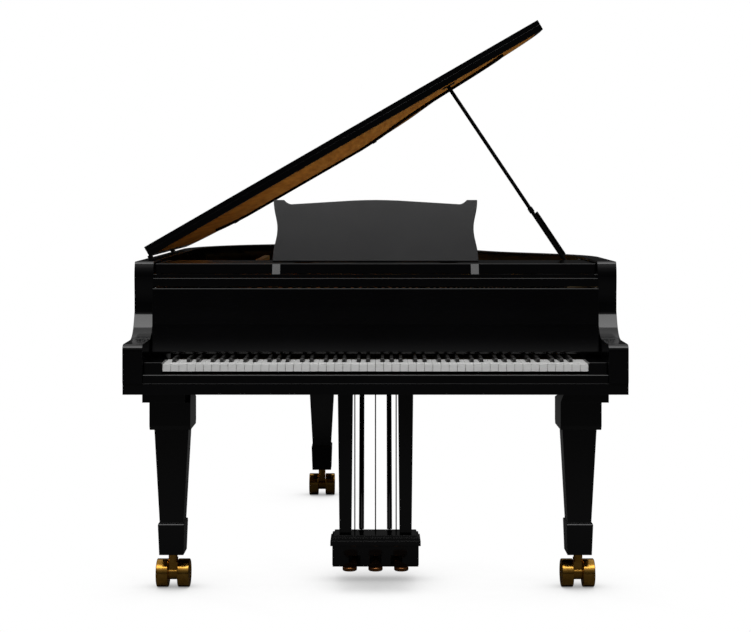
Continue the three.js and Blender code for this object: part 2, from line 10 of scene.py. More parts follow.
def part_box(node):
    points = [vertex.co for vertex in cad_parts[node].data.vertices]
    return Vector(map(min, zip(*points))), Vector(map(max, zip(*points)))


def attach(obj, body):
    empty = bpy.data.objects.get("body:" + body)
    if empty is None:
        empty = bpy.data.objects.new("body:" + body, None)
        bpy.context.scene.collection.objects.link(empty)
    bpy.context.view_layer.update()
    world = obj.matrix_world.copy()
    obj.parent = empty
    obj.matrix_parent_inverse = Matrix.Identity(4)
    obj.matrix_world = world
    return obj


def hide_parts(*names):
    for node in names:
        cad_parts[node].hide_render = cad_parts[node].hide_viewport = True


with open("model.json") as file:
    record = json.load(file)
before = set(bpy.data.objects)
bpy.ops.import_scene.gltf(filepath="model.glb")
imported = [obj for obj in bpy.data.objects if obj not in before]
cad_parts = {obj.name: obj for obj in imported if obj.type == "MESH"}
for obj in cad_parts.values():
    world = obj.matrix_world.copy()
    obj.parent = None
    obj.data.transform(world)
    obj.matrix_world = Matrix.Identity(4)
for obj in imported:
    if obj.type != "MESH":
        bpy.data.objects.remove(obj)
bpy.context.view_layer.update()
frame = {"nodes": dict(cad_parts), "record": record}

NODES = frame["nodes"]
BODY_OF = {}
for body_name, members in frame["record"]["behaviour"]["bodies"].items():
    for member in members:
        BODY_OF[member] = body_name

# Sizes are in millimetres, with Y = 0 at the front of the arms and X = 0 in the middle of the keys.
MM = 0.001
HALF_WIDTH = 724
LENGTH = 2175
KEYBED_TOP = 643
BENT_SIDE_START = 256
LID_AXIS = (-729.5, 984.5)
LID_ANGLE = math.radians(30)
LID_UNDERSIDE = -1
LID_TOP = 17.5
FLAP_FOLD = 575
LID_OVERHANG = 8
SHELF_TOP = 975.4
SHELF_FRONT = 280
RAIL_TOP = 934
SHELF_BOTTOM = 944
SOUNDBOARD_BOTTOM = 850
STRING_START = 545
WEB_TOP = 892
FLANGE_TOP = 870
STRING_Z = 895.5
BASS_Z = 902.2
DAMPER_LINE = 620
PROP_FOOT = Vector((622, 680, 964))
PROP_HEAD = Vector((236, 680, 1540))
WHEEL_SPACE = 28
WHEEL_RADIUS = 42
CASTER_TRAIL = 15

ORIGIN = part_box("left_arm")[0] - Vector((-HALF_WIDTH, 0, 0)) * MM
ORIGIN.z = 0


def at(x, y, z):
    return ORIGIN + Vector((x, y, z)) * MM


def crosswise(y, z, x):
    """The same point, for a side profile that is carried across the piano."""
    return at(x, y, z)


LID = Matrix.Translation(at(LID_AXIS[0], 0, LID_AXIS[1])) @ Matrix.Rotation(-LID_ANGLE, 4, "Y")


def on_lid(x, y, w):
    """A point given on the closed lid, w above its hinge axis."""
    return LID @ (Vector((x - LID_AXIS[0], y, w)) * MM)


# ---- camera, light and floor ----

CAMERA_DISTANCE = 4770
CAMERA_HEIGHT = 1176
LENS = 80
HORIZON_SHIFT = -0.158


def build_camera():
    data = bpy.data.cameras.new("camera")
    data.lens = LENS
    data.sensor_width = 36
    data.shift_y = HORIZON_SHIFT
    camera = bpy.data.objects.new("camera", data)
    camera.location = at(0, -CAMERA_DISTANCE, CAMERA_HEIGHT)
    camera.rotation_euler = (math.radians(90), 0, 0)
    bpy.context.scene.collection.objects.link(camera)
    bpy.context.scene.camera = camera


def build_world():
    """A studio: white all round to the eye, but dim at the horizon and bright overhead in reflections."""
    world = bpy.data.worlds.new("studio")
    bpy.context.scene.world = world
    world.use_nodes = True
    tree = world.node_tree
    tree.nodes.clear()
    coords = tree.nodes.new("ShaderNodeTexCoord")
    split = tree.nodes.new("ShaderNodeSeparateXYZ")
    tree.links.new(coords.outputs["Generated"], split.inputs[0])
    ramp = tree.nodes.new("ShaderNodeValToRGB")
    stops = ((0.0, 0.012), (0.18, 0.025), (0.5, 0.12), (0.75, 0.55), (1.0, 0.8))
    for index, (position, value) in enumerate(stops):
        stop = ramp.color_ramp.elements[index] if index < 2 else ramp.color_ramp.elements.new(position)
        stop.position = position
        stop.color = (value, value, value, 1)
    tree.links.new(split.outputs["Z"], ramp.inputs[0])
    room = tree.nodes.new("ShaderNodeBackground")
    tree.links.new(ramp.outputs[0], room.inputs["Color"])
    white = tree.nodes.new("ShaderNodeBackground")
    white.inputs["Color"].default_value = (1, 1, 1, 1)
    path = tree.nodes.new("ShaderNodeLightPath")
    choose = tree.nodes.new("ShaderNodeMixShader")
    tree.links.new(path.outputs["Is Camera Ray"], choose.inputs[0])
    tree.links.new(room.outputs[0], choose.inputs[1])
    tree.links.new(white.outputs[0], choose.inputs[2])
    output = tree.nodes.new("ShaderNodeOutputWorld")
    tree.links.new(choose.outputs[0], output.inputs["Surface"])


def area_light(name, location, target, size, power, mirrored=True):
    data = bpy.data.lights.new(name, "AREA")
    data.shape = "RECTANGLE"
    data.size, data.size_y = size
    data.energy = power
    light = bpy.data.objects.new(name, data)
    light.location = location
    light.visible_camera = False
    light.visible_glossy = mirrored
    light.rotation_euler = (target - location).to_track_quat("-Z", "Y").to_euler()
    bpy.context.scene.collection.objects.link(light)


def build_lights():
    """A large softbox high in front, one at each side, a fill for the lid and a strip over the keys."""
    middle = at(0, 400, 800)
    area_light("front_softbox", Vector((0, -3.7, 6.0)), middle, (5.5, 3.2), 125)
    area_light("bass_softbox", Vector((-4.2, 0.2, 4.4)), middle, (2.5, 2.0), 60)
    area_light("treble_softbox", Vector((4.2, 0.2, 4.4)), middle, (2.5, 2.0), 24)
    area_light("lid_fill", Vector((3.6, 0.9, 0.35)), at(-200, 1200, 1300), (1.2, 2.0), 75, False)
    area_light("key_light", Vector((0, -2.4, 2.6)), at(0, 60, 690), (3.0, 0.5), 26, False)


def build_floor():
    """A pale floor: white to the eye with soft contact shadows, and a dim grey in reflections."""
    mesh = bpy.data.meshes.new("floor")
    reach = 30.0
    corners = [(-reach, -reach, 0), (reach, -reach, 0), (reach, reach, 0), (-reach, reach, 0)]
    mesh.from_pydata(corners, [], [(0, 1, 2, 3)])
    floor = bpy.data.objects.new("floor", mesh)
    bpy.context.scene.collection.objects.link(floor)
    paint = bpy.data.materials.new("studio_floor")
    paint.use_nodes = True
    tree = paint.node_tree
    tree.nodes.clear()
    shade = tree.nodes.new("ShaderNodeAmbientOcclusion")
    shade.samples = 16
    shade.inputs["Distance"].default_value = 0.55
    level = tree.nodes.new("ShaderNodeMapRange")
    level.inputs["From Max"].default_value = 0.9
    level.inputs["To Min"].default_value = 0.22
    level.inputs["To Max"].default_value = 1.0
    tree.links.new(shade.outputs["AO"], level.inputs["Value"])
    glow = tree.nodes.new("ShaderNodeEmission")
    tree.links.new(level.outputs[0], glow.inputs["Strength"])
    matt = tree.nodes.new("ShaderNodeBsdfDiffuse")
    matt.inputs["Color"].default_value = (0.06, 0.06, 0.06, 1)
    path = tree.nodes.new("ShaderNodeLightPath")
    choose = tree.nodes.new("ShaderNodeMixShader")
    tree.links.new(path.outputs["Is Camera Ray"], choose.inputs[0])
    tree.links.new(matt.outputs[0], choose.inputs[1])
    tree.links.new(glow.outputs[0], choose.inputs[2])
    output = tree.nodes.new("ShaderNodeOutputMaterial")
    tree.links.new(choose.outputs[0], output.inputs["Surface"])
    mesh.materials.append(paint)


# ---- materials ----

def new_material(name, colour, roughness, metallic=0.0, **sockets):
    made = bpy.data.materials.new(name)
    made.use_nodes = True
    made.diffuse_color = (*colour, 1)
    shader = made.node_tree.nodes["Principled BSDF"]
    shader.inputs["Base Color"].default_value = (*colour, 1)
    shader.inputs["Roughness"].default_value = roughness
    shader.inputs["Metallic"].default_value = metallic
    for socket, value in sockets.items():
        shader.inputs[socket.replace("_", " ")].default_value = value
    return made, made.node_tree, shader


def pattern(tree, scale, stretch=(1, 1, 1), turn=(0, 0, 0), detail=4.0, kind="ShaderNodeTexNoise"):
    """A procedural pattern on the piece's own coordinates."""
    coords = tree.nodes.new("ShaderNodeTexCoord")
    mapping = tree.nodes.new("ShaderNodeMapping")
    mapping.inputs["Rotation"].default_value = turn
    mapping.inputs["Scale"].default_value = stretch
    texture = tree.nodes.new(kind)
    texture.inputs["Scale"].default_value = scale
    texture.inputs["Detail"].default_value = detail
    tree.links.new(coords.outputs["Object"], mapping.inputs["Vector"])
    tree.links.new(mapping.outputs[0], texture.inputs["Vector"])
    return texture.outputs[0]


def vary(tree, shader, socket, source, low, high):
    spread = tree.nodes.new("ShaderNodeMapRange")
    spread.inputs["To Min"].default_value = low
    spread.inputs["To Max"].default_value = high
    tree.links.new(source, spread.inputs["Value"])
    tree.links.new(spread.outputs[0], shader.inputs[socket])


def tint(tree, shader, source, stops):
    ramp = tree.nodes.new("ShaderNodeValToRGB")
    ramp.color_ramp.elements[0].position = stops[0][0]
    ramp.color_ramp.elements[0].color = (*stops[0][1], 1)
    ramp.color_ramp.elements[1].position = stops[-1][0]
    ramp.color_ramp.elements[1].color = (*stops[-1][1], 1)
    for position, colour in stops[1:-1]:
        stop = ramp.color_ramp.elements.new(position)
        stop.color = (*colour, 1)
    tree.links.new(source, ramp.inputs[0])
    tree.links.new(ramp.outputs[0], shader.inputs["Base Color"])


def relief(tree, shader, source, distance, strength=0.5):
    bump = tree.nodes.new("ShaderNodeBump")
    bump.inputs["Distance"].default_value = distance
    bump.inputs["Strength"].default_value = strength
    tree.links.new(source, bump.inputs["Height"])
    tree.links.new(bump.outputs[0], shader.inputs["Normal"])


def polished_lacquer():
    made, tree, shader = new_material("black_lacquer", (0.0022, 0.0022, 0.0026), 0.1)
    shader.inputs["Coat Weight"].default_value = 0.45
    shader.inputs["Coat Roughness"].default_value = 0.03
    shader.inputs["Specular IOR Level"].default_value = 0.42
    black = [(0.3, (0.0008, 0.0008, 0.0010)), (0.7, (0.0015, 0.0015, 0.0018))]
    tint(tree, shader, pattern(tree, 5), black)
    vary(tree, shader, "Roughness", pattern(tree, 14), 0.07, 0.16)
    relief(tree, shader, pattern(tree, 60, detail=1.0), 0.00001, 0.15)
    return made


def satin_desk_lacquer():
    made, tree, shader = new_material("desk_lacquer", (0.010, 0.010, 0.0105), 0.22)
    grey = [(0.3, (0.0085, 0.0085, 0.009)), (0.7, (0.0115, 0.0115, 0.012))]
    tint(tree, shader, pattern(tree, 6), grey)
    vary(tree, shader, "Roughness", pattern(tree, 30), 0.19, 0.26)
    relief(tree, shader, pattern(tree, 160, detail=2.0), 0.00001, 0.1)
    return made


def grained_wood(name, dark, light, turn, roughness, coat, fineness=60.0):
    made, tree, shader = new_material(name, light, roughness)
    shader.inputs["Coat Weight"].default_value = coat
    shader.inputs["Coat Roughness"].default_value = 0.08
    middle = tuple((a + b) / 2 for a, b in zip(dark, light))
    grain = pattern(tree, fineness, (1, 0.045, 1), turn, 6.0)
    tint(tree, shader, grain, [(0.32, dark), (0.5, middle), (0.68, light)])
    vary(tree, shader, "Roughness", grain, roughness + 0.08, roughness - 0.05)
    shader.inputs["Specular IOR Level"].default_value = 0.25
    relief(tree, shader, grain, 0.00008, 0.3)
    return made


def key_ivory():
    made, tree, shader = new_material("key_white", (0.87, 0.87, 0.86), 0.22)
    shader.inputs["Coat Weight"].default_value = 0.3
    cream = [(0.3, (0.85, 0.85, 0.84)), (0.7, (0.90, 0.90, 0.89))]
    tint(tree, shader, pattern(tree, 25, (1, 0.2, 1)), cream)
    vary(tree, shader, "Roughness", pattern(tree, 90), 0.17, 0.28)
    relief(tree, shader, pattern(tree, 300, (1, 0.15, 1)), 0.00001, 0.3)
    # painted shade: the key tops are darkened behind the fallboard, standing in for its shadow over the rear
    # of the keys
    shade_keys_behind(tree, shader, at(0, KEY_SHADE_LINE, 0).y)
    return made


def shade_keys_behind(tree, shader, line):
    """Paints the key tops dark behind a line across the keyboard, as painted shade for the fallboard's
    shadow over the rear of the keys.
    """
    coords = tree.nodes.new("ShaderNodeTexCoord")
    split = tree.nodes.new("ShaderNodeSeparateXYZ")
    behind = tree.nodes.new("ShaderNodeMath")
    behind.operation = "GREATER_THAN"
    behind.inputs[1].default_value = line
    painted_shade = tree.nodes.new("ShaderNodeMix")
    painted_shade.data_type = "RGBA"
    # painted shade colour: near-black, for the fallboard's shadow on the rear of the keys
    painted_shade.inputs["B"].default_value = (0.02, 0.016, 0.012, 1)
    ivory = shader.inputs["Base Color"].links[0].from_socket
    tree.links.new(coords.outputs["Object"], split.inputs[0])
    tree.links.new(split.outputs["Y"], behind.inputs[0])
    tree.links.new(behind.outputs[0], painted_shade.inputs["Factor"])
    tree.links.new(ivory, painted_shade.inputs["A"])
    tree.links.new(painted_shade.outputs["Result"], shader.inputs["Base Color"])


def key_ebony():
    made, tree, shader = new_material("key_black", (0.008, 0.008, 0.008), 0.3)
    grain = pattern(tree, 220, (1, 0.05, 1), detail=5.0)
    tint(tree, shader, grain, [(0.3, (0.006, 0.006, 0.006)), (0.7, (0.013, 0.012, 0.011))])
    vary(tree, shader, "Roughness", grain, 0.24, 0.36)
    relief(tree, shader, grain, 0.00003, 0.35)
    return made


def metal(name, dark, light, low, high, scale=35, dent=0.00003):
    made, tree, shader = new_material(name, light, (low + high) / 2, 1.0)
    source = pattern(tree, scale, detail=5.0)
    tint(tree, shader, source, [(0.3, dark), (0.7, light)])
    vary(tree, shader, "Roughness", source, low, high)
    relief(tree, shader, pattern(tree, scale * 9, detail=2.0), dent, 0.3)
    return made


def cast_gold():
    made, tree, shader = new_material("gold_cast_iron", (0.55, 0.36, 0.11), 0.38, 0.75)
    tint(tree, shader, pattern(tree, 9), [(0.3, (0.50, 0.32, 0.095)), (0.7, (0.62, 0.42, 0.14))])
    vary(tree, shader, "Roughness", pattern(tree, 40), 0.3, 0.46)
    relief(tree, shader, pattern(tree, 420, detail=3.0), 0.0002, 0.35)
    return made


def wound_copper():
    made, tree, shader = new_material("wound_copper", (0.72, 0.36, 0.17), 0.3, 1.0)
    tint(tree, shader, pattern(tree, 50), [(0.3, (0.62, 0.29, 0.13)), (0.7, (0.78, 0.42, 0.21))])
    coils = pattern(tree, 900, (0.15, 1, 0.15), detail=0.0, kind="ShaderNodeTexWave")
    vary(tree, shader, "Roughness", coils, 0.22, 0.42)
    relief(tree, shader, coils, 0.0001, 0.6)
    return made


def felt(name, dark, light):
    made, tree, shader = new_material(name, light, 0.95)
    shader.inputs["Sheen Weight"].default_value = 0.5
    fibres = pattern(tree, 700, detail=6.0)
    tint(tree, shader, fibres, [(0.3, dark), (0.7, light)])
    relief(tree, shader, fibres, 0.0004, 0.7)
    return made


def satin_black():
    made, tree, shader = new_material("satin_black", (0.002, 0.002, 0.002), 0.5)
    shader.inputs["Specular IOR Level"].default_value = 0.06
    vary(tree, shader, "Roughness", pattern(tree, 120), 0.42, 0.58)
    relief(tree, shader, pattern(tree, 500), 0.00002, 0.3)
    return made


def rubber():
    made, tree, shader = new_material("black_rubber", (0.02, 0.02, 0.02), 0.7)
    vary(tree, shader, "Roughness", pattern(tree, 200), 0.6, 0.8)
    relief(tree, shader, pattern(tree, 900), 0.00005, 0.4)
    return made


# where the painted shade on the white keys begins, just behind the fallboard's front
KEY_SHADE_LINE = 160
ALONG_LENGTH = (0, 0, 0)
ON_OPEN_LID = (0, LID_ANGLE, 0)
DIAGONAL = (0, 0, math.radians(40))

LACQUER = polished_lacquer()
DESK_LACQUER = satin_desk_lacquer()
VENEER = grained_wood("lid_veneer", (0.42, 0.155, 0.018), (0.66, 0.29, 0.045), ON_OPEN_LID, 0.55, 0.0)
SPRUCE = grained_wood("varnished_spruce", (0.45, 0.25, 0.10), (0.66, 0.43, 0.20), DIAGONAL, 0.35, 0.5, 110.0)
MAPLE = grained_wood("sanded_maple", (0.36, 0.20, 0.09), (0.55, 0.35, 0.18), ALONG_LENGTH, 0.42, 0.2, 70.0)
IVORY = key_ivory()
EBONY = key_ebony()
GOLD_IRON = cast_gold()
BRASS = metal("polished_brass", (0.56, 0.27, 0.04), (0.82, 0.45, 0.09), 0.14, 0.26)
PEDAL_BRASS = metal("aged_brass", (0.28, 0.10, 0.035), (0.50, 0.21, 0.07), 0.16, 0.3)
BLACKED_BRASS = metal("blacked_brass", (0.012, 0.011, 0.010), (0.03, 0.026, 0.022), 0.25, 0.4)
STEEL = metal("string_steel", (0.52, 0.53, 0.54), (0.70, 0.70, 0.71), 0.18, 0.32, 80)
NICKEL = metal("nickel", (0.60, 0.58, 0.54), (0.75, 0.73, 0.69), 0.15, 0.26)
COPPER = wound_copper()
WHITE_FELT = felt("white_felt", (0.62, 0.59, 0.52), (0.82, 0.80, 0.74))
RED_FELT = felt("red_felt", (0.20, 0.012, 0.012), (0.42, 0.03, 0.03))
SATIN_BLACK = satin_black()
RUBBER = rubber()


# ---- making pieces ----

def piece_from(mesh, name, body, material=None, stands_for=()):
    """Finishes a mesh as one piece that rides on a body."""
    if material is not None:
        mesh.materials.clear()
        mesh.materials.append(material)
    piece = bpy.data.objects.new(name, mesh)
    bpy.context.scene.collection.objects.link(piece)
    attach(piece, body)
    if stands_for:
        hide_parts(*stands_for)
    return piece


def to_mesh(bm, name, sharp=38):
    bmesh.ops.recalc_face_normals(bm, faces=bm.faces)
    mesh = bpy.data.meshes.new(name)
    bm.to_mesh(mesh)
    bm.free()
    mesh.shade_smooth()
    mesh.set_sharp_from_angle(angle=math.radians(sharp))
    return mesh


def even_normals(piece):
    modifier = piece.modifiers.new("even_normals", "WEIGHTED_NORMAL")
    modifier.keep_sharp = True
    modifier.weight = 100


def round_edges(bm, width, segments=2, angle=30):
    limit = math.radians(angle)
    sharp = [e for e in bm.edges if len(e.link_faces) == 2 and e.calc_face_angle(0) > limit]
    bmesh.ops.bevel(
        bm, geom=sharp, offset=width * MM, offset_type="OFFSET", segments=segments,
        profile=0.5, affect="EDGES", clamp_overlap=True,
    )


def merged_copy(node):
    bm = bmesh.new()
    bm.from_mesh(NODES[node].data)
    bmesh.ops.remove_doubles(bm, verts=bm.verts, dist=2e-5)
    bmesh.ops.dissolve_limit(bm, angle_limit=math.radians(1), verts=bm.verts, edges=bm.edges)
    return bm


def finish(node, material, edge=1.2, segments=2):
    """The CAD node's own shape with softened edges."""
    bm = merged_copy(node)
    round_edges(bm, edge, segments)
    mesh = to_mesh(bm, node + "_finish")
    piece = piece_from(mesh, node + "_finish", BODY_OF[node], material, [node])
    even_normals(piece)
    return piece


def prism(name, outline, low, high, place, body, material, edge=0.4, stands_for=()):
    """A flat outline given a thickness; place turns (x, y, height) into a point."""
    bm = bmesh.new()
    bottom = [bm.verts.new(place(x, y, low)) for x, y in outline]
    top = [bm.verts.new(place(x, y, high)) for x, y in outline]
    count = len(outline)
    bm.faces.new(bottom)
    bm.faces.new(top)
    for i in range(count):
        j = (i + 1) % count
        bm.faces.new([bottom[i], bottom[j], top[j], top[i]])
    bmesh.ops.recalc_face_normals(bm, faces=bm.faces)
    if edge:
        round_edges(bm, edge)
    piece = piece_from(to_mesh(bm, name), name, body, material, stands_for)
    even_normals(piece)
    return piece


def lathe(profile, start, axis, steps=48):
    """A closed solid turned round an axis; profile holds (distance along, radius) in millimetres."""
    axis = axis.normalized()
    side = axis.orthogonal().normalized()
    other = axis.cross(side)
    bm = bmesh.new()
    rings = []
    for along, radius in profile:
        centre = start + axis * along * MM
        if radius < 1e-6:
            rings.append([bm.verts.new(centre)])
            continue
        ring = []
        for step in range(steps):
            turn = 2 * math.pi * step / steps
            spoke = side * math.cos(turn) + other * math.sin(turn)
            ring.append(bm.verts.new(centre + spoke * radius * MM))
        rings.append(ring)
    for a, b in zip(rings, rings[1:]):
        for step in range(steps):
            after = (step + 1) % steps
            corners = [a[step % len(a)], a[after % len(a)], b[after % len(b)], b[step % len(b)]]
            unique = list(dict.fromkeys(corners))
            if len(unique) > 2:
                bm.faces.new(unique)
    bmesh.ops.recalc_face_normals(bm, faces=bm.faces)
    return bm


def rectangle(x0, x1, y0, y1):
    return [(x0, y0), (x1, y0), (x1, y1), (x0, y1)]


def combine(parts):
    """Joins several shapes into one mesh, each still a closed solid."""
    whole = bmesh.new()
    for bm in parts:
        mesh = bpy.data.meshes.new("part")
        bm.to_mesh(mesh)
        bm.free()
        whole.from_mesh(mesh)
        bpy.data.meshes.remove(mesh)
    return whole


def case_outline(inset=0.0, steps=24):
    """The plan of the case, from the treble arm round the tail to the bass arm."""
    curves = [
        ((HALF_WIDTH, 640), (HALF_WIDTH, 850), (600, 985), (500, 1100)),
        ((500, 1100), (400, 1215), (345, 1400), (290, 1640)),
        ((290, 1640), (235, 1880), (60, LENGTH), (-200, LENGTH)),
        ((-200, LENGTH), (-470, LENGTH), (-700, 1900), (-HALF_WIDTH, 1540)),
    ]
    points = [Vector((HALF_WIDTH, BENT_SIDE_START))]
    for curve in curves:
        points += interpolate_bezier(*[Vector(p) for p in curve], steps + 1)[:-1]
    points += [Vector((-HALF_WIDTH, 1540)), Vector((-HALF_WIDTH, BENT_SIDE_START))]
    moved = []
    for i, point in enumerate(points):
        along = (points[min(i + 1, len(points) - 1)] - points[max(i - 1, 0)]).normalized()
        moved.append(Vector((point.x - along.y * inset, point.y + along.x * inset)))
    return moved


# ---- repeated pieces, by geometry nodes ----

def start_tree(name, inputs):
    tree = bpy.data.node_groups.new(name, "GeometryNodeTree")
    tree.interface.new_socket("Geometry", in_out="INPUT", socket_type="NodeSocketGeometry")
    for label, kind in inputs:
        tree.interface.new_socket(label, in_out="INPUT", socket_type=kind)
    tree.interface.new_socket("Geometry", in_out="OUTPUT", socket_type="NodeSocketGeometry")
    return tree, tree.nodes.new("NodeGroupInput"), tree.nodes.new("NodeGroupOutput")


def share_of(tree, source, share):
    product = tree.nodes.new("ShaderNodeMath")
    product.operation = "MULTIPLY"
    product.inputs[1].default_value = share
    tree.links.new(source, product.inputs[0])
    return product.outputs[0]


def post_tree():
    """Stands a short round post, with a chamfered head, on every point."""
    kinds = [("Radius", "NodeSocketFloat"), ("Height", "NodeSocketFloat"), ("Sides", "NodeSocketInt"),
             ("Tilt", "NodeSocketVector"), ("Material", "NodeSocketMaterial")]
    tree, given, result = start_tree("posts", kinds)
    body = tree.nodes.new("GeometryNodeMeshCylinder")
    head = tree.nodes.new("GeometryNodeMeshCone")
    lift = tree.nodes.new("GeometryNodeTransform")
    stack = tree.nodes.new("GeometryNodeJoinGeometry")
    place = tree.nodes.new("ShaderNodeCombineXYZ")
    link = tree.links.new
    link(given.outputs["Radius"], body.inputs["Radius"])
    link(given.outputs["Height"], body.inputs["Depth"])
    link(given.outputs["Sides"], body.inputs["Vertices"])
    link(given.outputs["Sides"], head.inputs["Vertices"])
    link(given.outputs["Radius"], head.inputs["Radius Bottom"])
    link(share_of(tree, given.outputs["Radius"], 0.72), head.inputs["Radius Top"])
    link(share_of(tree, given.outputs["Height"], 0.12), head.inputs["Depth"])
    link(share_of(tree, given.outputs["Height"], 0.5), place.inputs["Z"])
    link(head.outputs["Mesh"], lift.inputs["Geometry"])
    link(place.outputs[0], lift.inputs["Translation"])
    link(body.outputs["Mesh"], stack.inputs[0])
    link(lift.outputs["Geometry"], stack.inputs[0])
    scatter = tree.nodes.new("GeometryNodeInstanceOnPoints")
    link(given.outputs["Geometry"], scatter.inputs["Points"])
    link(stack.outputs[0], scatter.inputs["Instance"])
    link(given.outputs["Tilt"], scatter.inputs["Rotation"])
    solid = tree.nodes.new("GeometryNodeRealizeInstances")
    paint = tree.nodes.new("GeometryNodeSetMaterial")
    link(scatter.outputs["Instances"], solid.inputs["Geometry"])
    link(solid.outputs["Geometry"], paint.inputs["Geometry"])
    link(given.outputs["Material"], paint.inputs["Material"])
    link(paint.outputs["Geometry"], result.inputs[0])
    return tree


def wire_tree():
    """Turns every run of edges into a round wire."""
    kinds = [("Radius", "NodeSocketFloat"), ("Sides", "NodeSocketInt"), ("Material", "NodeSocketMaterial")]
    tree, given, result = start_tree("wires", kinds)
    runs = tree.nodes.new("GeometryNodeMeshToCurve")
    ring = tree.nodes.new("GeometryNodeCurvePrimitiveCircle")
    tube = tree.nodes.new("GeometryNodeCurveToMesh")
    tube.inputs["Fill Caps"].default_value = True
    solid = tree.nodes.new("GeometryNodeRealizeInstances")
    paint = tree.nodes.new("GeometryNodeSetMaterial")
    link = tree.links.new
    link(given.outputs["Geometry"], runs.inputs["Mesh"])
    link(given.outputs["Radius"], ring.inputs["Radius"])
    link(given.outputs["Sides"], ring.inputs["Resolution"])
    link(runs.outputs["Curve"], tube.inputs["Curve"])
    link(ring.outputs["Curve"], tube.inputs["Profile Curve"])
    link(tube.outputs["Mesh"], solid.inputs["Geometry"])
    link(solid.outputs["Geometry"], paint.inputs["Geometry"])
    link(given.outputs["Material"], paint.inputs["Material"])
    link(paint.outputs["Geometry"], result.inputs[0])
    return tree


POSTS = post_tree()
WIRES = wire_tree()


def grown(tree, points, edges, values, name, body, stands_for=()):
    """Runs a geometry tree on points and edges and keeps its result as a plain mesh."""
    seed = bpy.data.meshes.new(name + "_seed")
    seed.from_pydata([tuple(p) for p in points], edges, [])
    holder = bpy.data.objects.new(name + "_seed", seed)
    bpy.context.scene.collection.objects.link(holder)
    modifier = holder.modifiers.new("grow", "NODES")
    modifier.node_group = tree
    for item in tree.interface.items_tree:
        if item.item_type == "SOCKET" and item.in_out == "INPUT" and item.name in values:
            modifier[item.identifier] = values[item.name]
    bpy.context.view_layer.update()
    evaluated = holder.evaluated_get(bpy.context.evaluated_depsgraph_get())
    mesh = bpy.data.meshes.new_from_object(evaluated)
    bpy.data.objects.remove(holder)
    bpy.data.meshes.remove(seed)
    bm = bmesh.new()
    bm.from_mesh(mesh)
    bmesh.ops.remove_doubles(bm, verts=bm.verts, dist=1e-6)
    bmesh.ops.recalc_face_normals(bm, faces=bm.faces)
    bm.to_mesh(mesh)
    bm.free()
    mesh.shade_smooth()
    mesh.set_sharp_from_angle(angle=math.radians(40))
    mesh.name = name
    return piece_from(mesh, name, body, values["Material"], stands_for)


def posts(name, points, radius, height, material, body, sides=10, tilt=(0.0, 0.0, 0.0)):
    values = {"Radius": radius * MM, "Height": height * MM, "Sides": sides, "Tilt": tilt,
              "Material": material}
    return grown(POSTS, points, [], values, name, body)


def wires(name, runs, radius, material, body, sides=6, stands_for=()):
    points, edges = [], []
    for run in runs:
        first = len(points)
        points += run
        edges += [(first + i, first + i + 1) for i in range(len(run) - 1)]
    values = {"Radius": radius * MM, "Sides": sides, "Material": material}
    return grown(WIRES, points, edges, values, name, body, stands_for)


# ---- case ----

def build_case():
    for node in ("outer_rim", "left_arm", "right_arm", "front_rail"):
        finish(node, LACQUER, 1.5, 3)
    finish("keybed", LACQUER, 0.6, 2)
    for node in ("key_slip", "key_block_left", "key_block_right"):
        finish(node, LACQUER, 1.2, 3)
    for node in ("inner_rim", "belly_rail"):
        finish(node, LACQUER, 2.0)
    for node in ("case_beam_bass", "case_beam_treble"):
        finish(node, MAPLE, 2.0)
    finish("fallboard", LACQUER, 2.0, 3)
    tips = [at(side * 656, 203, 905.5) for side in (-1, 1)]
    posts("fallboard_pins", tips, 3.0, 3.0, NICKEL, "fallboard", 12)
    # painted shade: a black lacquer strip across the whole width under the music shelf closes the shaded gap
    # above the front rail, so it reads as a black band
    low, high = RAIL_TOP + 0.2, SHELF_BOTTOM - 0.1
    gap_cover = [(262.5, low), (275, low), (275, high), (262.5, high)]
    prism("shelf_gap_shade_strip", gap_cover, -660, 660, crosswise, "case", LACQUER)
    strip = [(206.3, 710), (208.8, 710), (208.8, 718.5), (206.3, 718.5)]
    prism("name_board_strip", strip, -666.8, 666.8, crosswise, "case", LACQUER)


# ---- strung back ----

TREBLE_NOTES = 62
BASS_NOTES = 26
DAMPERS = 68
DAMPER_PITCH = 16.2


def bridge_point(share):
    ends = [Vector(p) for p in ((585, 715), (440, 840), (260, 1380), (-470, 1600))]
    keep = 1 - share
    return (ends[0] * keep ** 3 + 3 * ends[1] * keep ** 2 * share
            + 3 * ends[2] * keep * share ** 2 + ends[3] * share ** 3)


def treble_wires():
    """Three wires a note, from its tuning pins over the bridge to its hitch pin."""
    runs, pins, hitches = [], [], []
    for note in range(TREBLE_NOTES):
        bridge = bridge_point(0.005 + 0.99 * note / (TREBLE_NOTES - 1))
        share = (585 - bridge.x) / 1055
        front = 592 - 1017 * share
        for wire in range(3):
            offset = (wire - 1) * 2.6
            pin = Vector((front + offset + (wire - 1) * 1.5, 395 + 34 * wire + 18 * (note % 2)))
            start = Vector((front + offset, STRING_START))
            over = bridge + Vector((offset, 0))
            along = (over - start).normalized()
            hitch = over + along * 62
            runs.append([at(pin.x, pin.y, WEB_TOP + 12), at(start.x, start.y, STRING_Z),
                         at(over.x, over.y, STRING_Z + 0.3), at(hitch.x, hitch.y, FLANGE_TOP + 8)])
            pins.append(at(pin.x + 3.4, pin.y, WEB_TOP + 12))
            hitches.append(at(hitch.x, hitch.y, FLANGE_TOP + 5))
    return runs, pins, hitches


